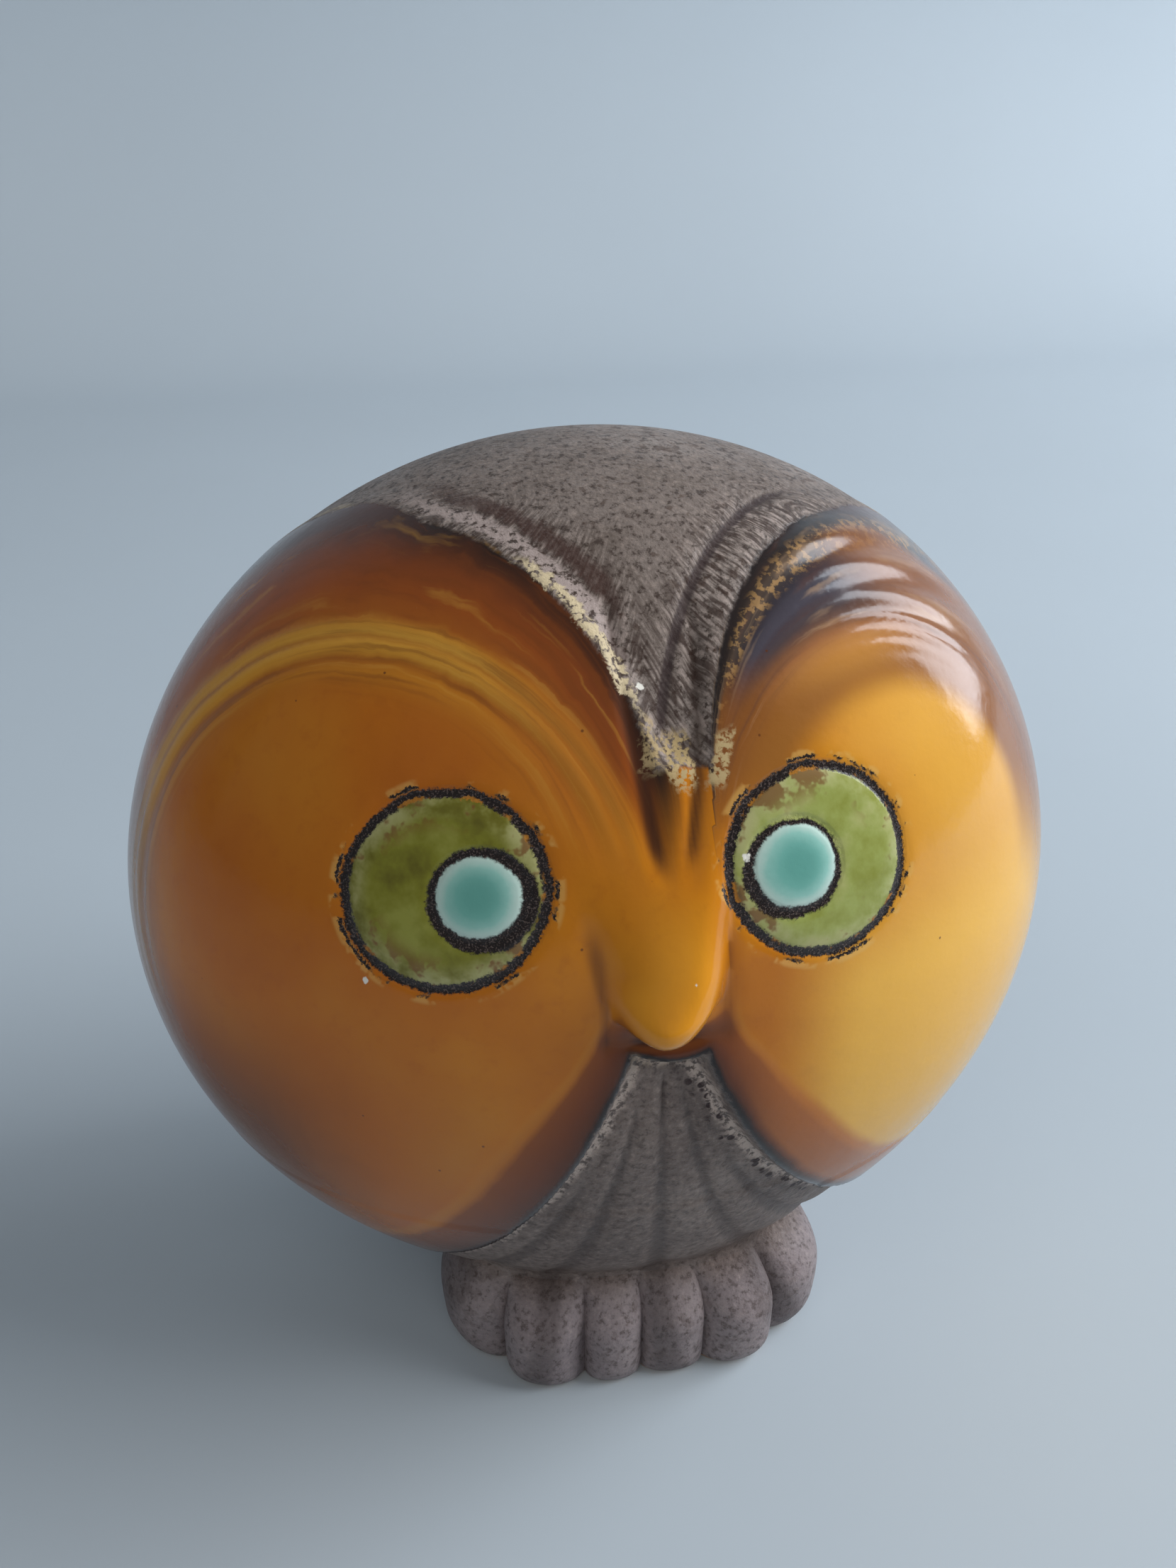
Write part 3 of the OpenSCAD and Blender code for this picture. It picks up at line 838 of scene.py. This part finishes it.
def eye_colour(paint, colour):
    """Olive irises and turquoise pupils inside granular black lines."""
    eye = paint.attribute("eye")
    pupil = paint.attribute("pupil")
    ring = paint.attribute("pupil_ring")
    grit = paint.noise(0.4, 3, 0.7)
    chalk = paint.noise(0.22, 2, 0.6).ramp(0.52, 0.66)
    wave = paint.noise(3.4, 3, 0.6)
    mottle = paint.noise(5, 4, 0.6)
    halo = eye.line(-1.2, 0.8, 0.3) * wave.ramp(0.5, 0.6)
    colour = paint.mix(halo * 0.5, colour, (212, 168, 92))
    on_right = paint.attribute("turn").ramp(-1, 1)
    olive = mottle.tones((0.3, (96, 90, 24)), (0.5, (122, 120, 36)), (0.7, (142, 142, 62)))
    pale_olive = mottle.tones((0.3, (132, 136, 56)), (0.5, (150, 158, 84)), (0.7, (172, 172, 110)))
    olive = paint.mix(on_right, olive, pale_olive)
    pale = eye.ramp(3.4, 0.8) * mottle.ramp(0.35, 0.6)
    iris = paint.mix(pale * 0.75, olive, (176, 172, 122))
    stain = (wave + mottle).ramp(1.03, 1.13) * eye.ramp(5, 1.5)
    iris = paint.mix(stain * 0.8, iris, (112, 66, 28))
    colour = paint.mix(eye.ramp(-0.1, 0.2), colour, iris)
    rough_eye = eye + (wave - 0.5) * 0.9 + (grit - 0.5) * 1.1
    line = rough_eye.line(0.1, 0.72, 0.6)
    second = rough_eye.line(-0.8, 0.26, 0.5) * wave.ramp(0.5, 0.58)
    crayon = paint.mix(chalk * 0.6, (32, 24, 22), (112, 98, 92))
    sliver = rough_eye.line(0.55, 0.3, 0.4) * wave.ramp(0.52, 0.6)
    colour = paint.mix(line.most(second), colour, crayon)
    colour = paint.mix(sliver * 0.8, colour, (180, 118, 36))
    rough_ring = ring + (wave - 0.5) * 1.1 + (grit - 0.5) * 1.0
    colour = paint.mix(rough_ring.ramp(-0.1, 0.25), colour, crayon)
    rough_pupil = pupil + (wave - 0.5) * 0.9 + (grit - 0.5) * 0.7
    teal = (pupil + mottle * 1.5).ramp(0.6, 4.6).tones(
        (0.0, (190, 212, 202)), (0.3, (140, 190, 178)), (0.7, (110, 170, 158)), (1.0, (98, 160, 148)))
    return paint.mix(rough_pupil.ramp(-0.1, 0.25), colour, teal)


def glazed_clay():
    """The whole owl's finish: honey face, taupe coat, crayon eyes, bare clay where unglazed."""
    paint = Finish("glazed_clay")
    face = paint.attribute("face")
    ragged = paint.noise(2.6, 4, 0.65, 0.6)
    fine = paint.noise(0.6, 3, 0.6)
    edge = face + (ragged - 0.5) * 1.6
    on_face = edge.ramp(-0.5, 0.3) * paint.attribute("foot").flip()
    colour = paint.mix(on_face, crown_colour(paint), face_colour(paint))
    colour = crystals(paint, colour)
    colour = eye_colour(paint, colour)
    chip = (paint.attribute("chip") + (ragged - 0.5) * 0.5 + (fine - 0.5) * 0.4).ramp(0, 0.15)
    colour = paint.mix(chip, colour, (222, 218, 208))
    bare = paint.attribute("bare") + (ragged - 0.5) * 0.5
    bare = bare.ramp(0.35, 0.6)
    clay = ragged.tones((0.3, (176, 132, 98)), (0.7, (198, 158, 124)))
    clay = paint.mix(fine.ramp(0.6, 0.7) * 0.5, clay, (120, 84, 60))
    colour = paint.mix(bare, colour, clay)
    gloss = on_face.most(paint.attribute("eye").ramp(0, 0.5))
    satin = ragged.ramp(0.3, 0.7, 0.42, 0.56)
    shiny = fine.ramp(0.3, 0.7, 0.15, 0.22)
    roughness = satin + (shiny - satin) * gloss
    roughness = roughness + (roughness * -1 + 0.85) * bare
    eye_line = paint.attribute("eye").line(0.1, 0.9, 0.3)
    eye_lines = eye_line.most(paint.attribute("pupil").line(-0.4, 0.9, 0.3))
    height = fine * (gloss.flip() * 0.9 + 0.1) + paint.noise(3.5, 2) * 0.5 - eye_lines * fine * 1.5
    paint.bump(height, 0.16)
    return paint.set(Base_Color=colour, Roughness=roughness, Specular_IOR_Level=0.3,
                     Coat_Weight=gloss * bare.flip() * 0.25, Coat_Roughness=0.1)


def metal(name, colour, dark, roughness, grain_mm, stretch=None):
    """Worn metal: brushed grain, dull patches and fine scratches."""
    paint = Finish(name)
    cloud = paint.noise(6, 4, 0.6)
    grain = paint.noise(grain_mm, 3, 0.7, 0, stretch)
    scratch = paint.noise(0.5, 2, 0.5, 0.3, (1, 0.04, 1)).ramp(0.66, 0.72)
    tone = paint.mix(cloud.ramp(0.35, 0.7), dark, colour)
    tone = paint.mix(grain.ramp(0.4, 0.7) * 0.3, tone, dark)
    tone = paint.mix(scratch * 0.5, tone, tuple(min(255, c + 40) for c in colour))
    rough = cloud.ramp(0.3, 0.7, roughness + 0.18, roughness) + grain * 0.1
    paint.bump(grain + scratch * -0.6, 0.02)
    return paint.set(Base_Color=tone, Roughness=rough, Metallic=1.0)


def dress_metals():
    """Gives every metal node the finish of its slot."""
    finishes = {
        "plated_sheet": metal("plated_sheet", (190, 188, 182), (128, 124, 116), 0.28, 0.9, (1, 0.1, 1)),
        "zinc_sheet": metal("zinc_sheet", (172, 174, 176), (118, 120, 124), 0.36, 1.6),
        "rivet_steel": metal("rivet_steel", (150, 148, 144), (96, 92, 88), 0.34, 0.5),
        "turned_steel": metal("turned_steel", (166, 166, 168), (104, 104, 106), 0.25, 0.4, (1, 1, 6)),
        "spring_steel": metal("spring_steel", (122, 128, 138), (70, 72, 80), 0.3, 0.6),
        "cam_brass": metal("cam_brass", (206, 168, 86), (146, 108, 48), 0.28, 0.6),
    }
    for part in frame["record"]["subparts"]:
        node = frame["nodes"][part["node"]]
        if part["material_slot"] in finishes:
            for slot in node.material_slots:
                slot.material = finishes[part["material_slot"]]


def plain(name, colour, roughness):
    paint = Finish(name)
    soft = paint.noise(220, 3, 0.5)
    lighter = tuple(min(255, channel + 8) for channel in colour)
    return paint.set(Base_Color=paint.mix(soft, colour, lighter), Roughness=roughness)


def make_stage():
    """Pale floor that curves up into a backdrop."""
    floor_w, front_y, bend_y, bend_r, top_z = 8000, -5000, 520, 160, 1600
    angles = np.radians(np.linspace(0, 90, 17))
    profile = [(front_y, 0)]
    profile += [(bend_y + bend_r * math.sin(a), bend_r * (1 - math.cos(a))) for a in angles]
    profile.append((bend_y + bend_r, top_z))
    points = [(x * MM, y * MM, z * MM) for x in (-floor_w / 2, floor_w / 2) for y, z in profile]
    count = len(profile)
    faces = [(i, i + count, i + count + 1, i + 1) for i in range(count - 1)]
    mesh = bpy.data.meshes.new("backdrop")
    mesh.from_pydata(points, [], faces)
    mesh.shade_smooth()
    mesh.materials.append(plain("pale_paper", (176, 186, 194), 0.7))
    add_object("backdrop", mesh)


def area_light(name, toward, distance, width, height, power, colour):
    """Soft light at a direction from the owl, facing it."""
    lamp = bpy.data.lights.new(name, "AREA")
    lamp.shape = "RECTANGLE"
    lamp.size = width
    lamp.size_y = height
    lamp.energy = power
    lamp.color = colour
    made = add_object(name, lamp)
    way = Vector(toward).normalized()
    made.location = Vector(BODY_MIDDLE * MM) + way * distance
    made.rotation_mode = "QUATERNION"
    made.rotation_quaternion = way.to_track_quat("Z", "Y")
    return made


def light_scene():
    area_light("window", (0.88, 0.26, 0.36), 1.1, 0.34, 0.76, 4.6, (0.86, 0.92, 1.0))
    day = area_light("day", (0.8, -0.16, 0.56), 1.1, 0.8, 0.9, 12.5, (0.95, 0.98, 1.0))
    room = area_light("room", (-0.35, -0.85, 0.8), 1.6, 1.6, 1.2, 5.8, (1.0, 0.97, 0.92))
    for soft in (day, room):
        soft.visible_glossy = False
    world = bpy.data.worlds.new("studio")
    world.use_nodes = True
    backdrop = world.node_tree.nodes["Background"]
    backdrop.inputs["Color"].default_value = (0.86, 0.92, 1.0, 1)
    backdrop.inputs["Strength"].default_value = 0.2
    bpy.context.scene.world = world


def make_camera():
    """Camera above the owl, close to it and a little to its right."""
    stand = Vector((-33.2, -185.7, 180.3)) * MM
    azimuth, elevation = math.radians(-10), math.radians(28.4)
    back = Vector((math.sin(azimuth) * math.cos(elevation), -math.cos(azimuth) * math.cos(elevation),
                   math.sin(elevation)))
    lens = bpy.data.cameras.new("camera")
    lens.lens = 36.4
    lens.clip_start = 0.01
    camera = add_object("camera", lens)
    camera.location = stand
    camera.rotation_mode = "QUATERNION"
    camera.rotation_quaternion = back.to_track_quat("Z", "Y")
    bpy.context.scene.camera = camera


make_camera()
owl = make_owl()
owl.data.materials.clear()
owl.data.materials.append(glazed_clay())
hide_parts("owl_shell")
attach(owl, "owl")
dress_metals()
make_stage()
light_scene()

bpy.context.scene.view_settings.view_transform = "Standard"
